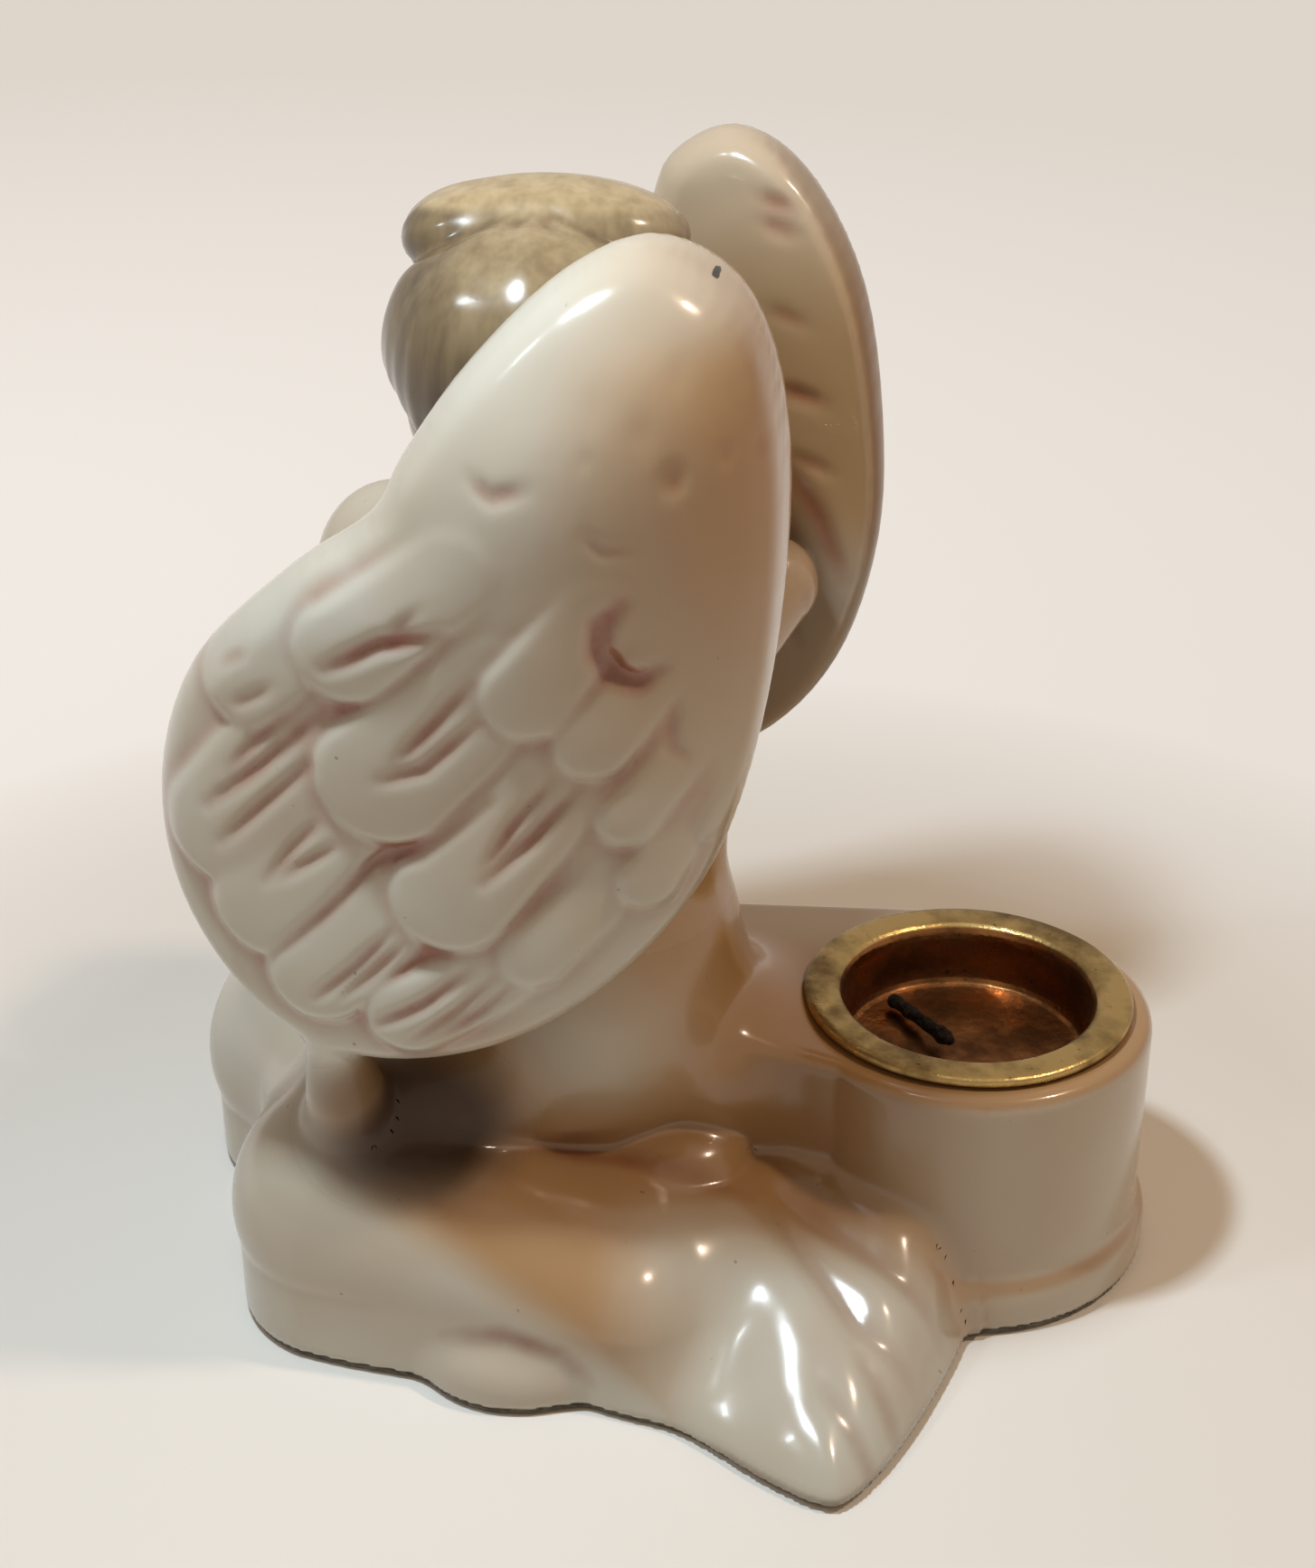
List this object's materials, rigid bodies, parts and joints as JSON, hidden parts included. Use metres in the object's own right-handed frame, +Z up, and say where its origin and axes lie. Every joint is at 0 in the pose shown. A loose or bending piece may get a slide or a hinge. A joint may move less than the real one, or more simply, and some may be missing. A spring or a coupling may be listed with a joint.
{
  "type": "angel figurine candle holder",
  "caption": "Glazed porcelain kneeling angel with two swept wings and a round socket behind it that holds a loose brass candle cup.",
  "frame": {"origin": "on the ground under the figure's seat, on the underside of the felt", "axes": "+Z up, the figure faces -Y, its left side is +X, the cup's axis is at x = 0, y = +29 mm"},
  "size_m": [0.0733, 0.094, 0.1023],
  "materials": {
    "felt": "matt grey felt",
    "glaze_gown": "glossy pale grey glaze",
    "glaze_white": "glossy warm white glaze",
    "glaze_hair": "glossy olive brown glaze",
    "brass": "tarnished",
    "char": "burnt cotton"
  },
  "bodies": {
    "figure": {"felt_pad": "felt", "lower_body": "glaze_gown", "socket_block": "glaze_gown", "torso": "glaze_white", "head": "glaze_hair", "clasped_hands": "glaze_white", "left_arm": "glaze_white", "right_arm": "glaze_white", "left_wing": "glaze_white", "right_wing": "glaze_white"},
    "cup": {"brass_cup": "brass", "wick_stub": "char"}
  },
  "joints": [
    {"name": "cup_lift", "type": "slide", "parent": "figure", "child": "cup", "axis": [0, 0, 1], "range_m": [0, 0.02]}
  ]
}
